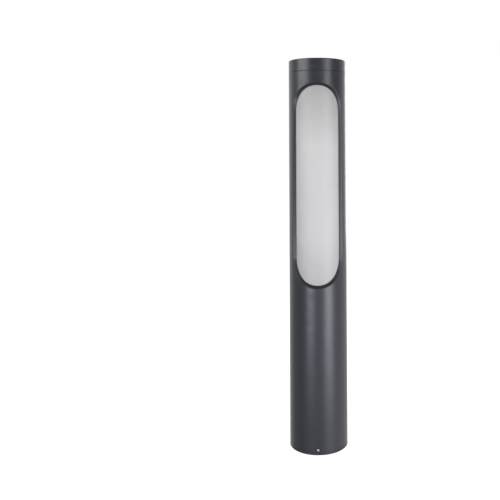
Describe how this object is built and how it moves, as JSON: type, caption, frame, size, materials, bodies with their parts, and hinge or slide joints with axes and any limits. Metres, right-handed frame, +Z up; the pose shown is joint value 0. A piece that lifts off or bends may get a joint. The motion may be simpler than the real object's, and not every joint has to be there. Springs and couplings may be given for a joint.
{
  "type": "bollard light",
  "caption": "Round path-lighting bollard: slotted anthracite column over an opal diffuser tube, flat screwed-on cap, floor flange and set screws at the foot.",
  "frame": {"origin": "centre of the underside of the floor flange, on the ground", "axes": "+Z up along the column's axis, -Y out of the front window, +Y out of the rear window, +X along the line through the two uprights"},
  "size_m": [0.12, 0.12, 0.8],
  "materials": {
    "anthracite_paint": "satin fine-texture powder coat, anthracite grey",
    "opal_diffuser": "satin opal polycarbonate",
    "stainless": "plain stainless",
    "zinc_steel": "zinc plated",
    "bare_aluminium": "as machined or extruded",
    "silicone": "matte silicone",
    "black_rubber": "matte",
    "white_plastic": "moulded",
    "black_plastic": "moulded",
    "nylon": "moulded",
    "led_board": "white solder mask",
    "grey_cable": "cable sheath",
    "earth_cable": "green and yellow cable sheath"
  },
  "bodies": {
    "base": {"base_flange": "anthracite_paint", "gear_tray": "zinc_steel", "tray_screw_left": "zinc_steel", "tray_screw_right": "zinc_steel", "led_driver": "white_plastic", "driver_screw_upper": "zinc_steel", "driver_screw_lower": "zinc_steel", "terminal_block": "white_plastic", "terminal_block_screw_left": "zinc_steel", "terminal_block_screw_right": "zinc_steel", "cable_clamp": "black_plastic", "cable_clamp_screw_left": "zinc_steel", "cable_clamp_screw_right": "zinc_steel", "earth_screw": "zinc_steel", "earth_washer": "zinc_steel", "earth_lead": "earth_cable", "driver_input_lead": "grey_cable", "driver_output_lead": "grey_cable", "driver_plug": "black_plastic"},
    "slip_ring": {"slip_ring": "nylon"},
    "column": {"housing_tube": "anthracite_paint", "diffuser_tube": "opal_diffuser", "diffuser_gasket_upper": "silicone", "diffuser_gasket_lower": "silicone", "bulkhead_plate": "bare_aluminium", "retaining_ring": "stainless", "bulkhead_socket": "black_plastic", "socket_nut": "zinc_steel", "tie_rod_nut_left": "zinc_steel", "tie_rod_nut_right": "zinc_steel", "tie_rod_washer_left": "zinc_steel", "tie_rod_washer_right": "zinc_steel"},
    "light_engine": {"top_cap": "anthracite_paint", "cap_gasket": "black_rubber", "heat_sink_bar": "bare_aluminium", "heat_sink_screw_left": "zinc_steel", "heat_sink_screw_right": "zinc_steel", "led_board_front": "led_board", "led_board_rear": "led_board", "led_board_front_screw_upper": "zinc_steel", "led_board_front_screw_lower": "zinc_steel", "led_board_rear_screw_upper": "zinc_steel", "led_board_rear_screw_lower": "zinc_steel", "tie_rod_left": "stainless", "tie_rod_right": "stainless", "engine_plug": "black_plastic", "engine_lead_front": "grey_cable", "engine_lead_rear": "grey_cable"},
    "set_screw_front": {"set_screw_front": "stainless"},
    "set_screw_rear": {"set_screw_rear": "stainless"}
  },
  "joints": [
    {"name": "column_turn", "type": "hinge", "parent": "base", "child": "slip_ring", "pos_m": [0, 0, 0.0042], "axis": [0, 0, 1], "range_deg": [-180, 180]},
    {"name": "column_lift", "type": "slide", "parent": "slip_ring", "child": "column", "axis": [0, 0, 1], "range_m": [0, 0.32]},
    {"name": "cap_lift", "type": "slide", "parent": "column", "child": "light_engine", "axis": [0, 0, 1], "range_m": [0, 0.49]},
    {"name": "set_screw_front_travel", "type": "slide", "parent": "column", "child": "set_screw_front", "axis": [0, -1, 0], "range_m": [0, 0.008]},
    {"name": "set_screw_rear_travel", "type": "slide", "parent": "column", "child": "set_screw_rear", "axis": [0, 1, 0], "range_m": [0, 0.008]}
  ]
}
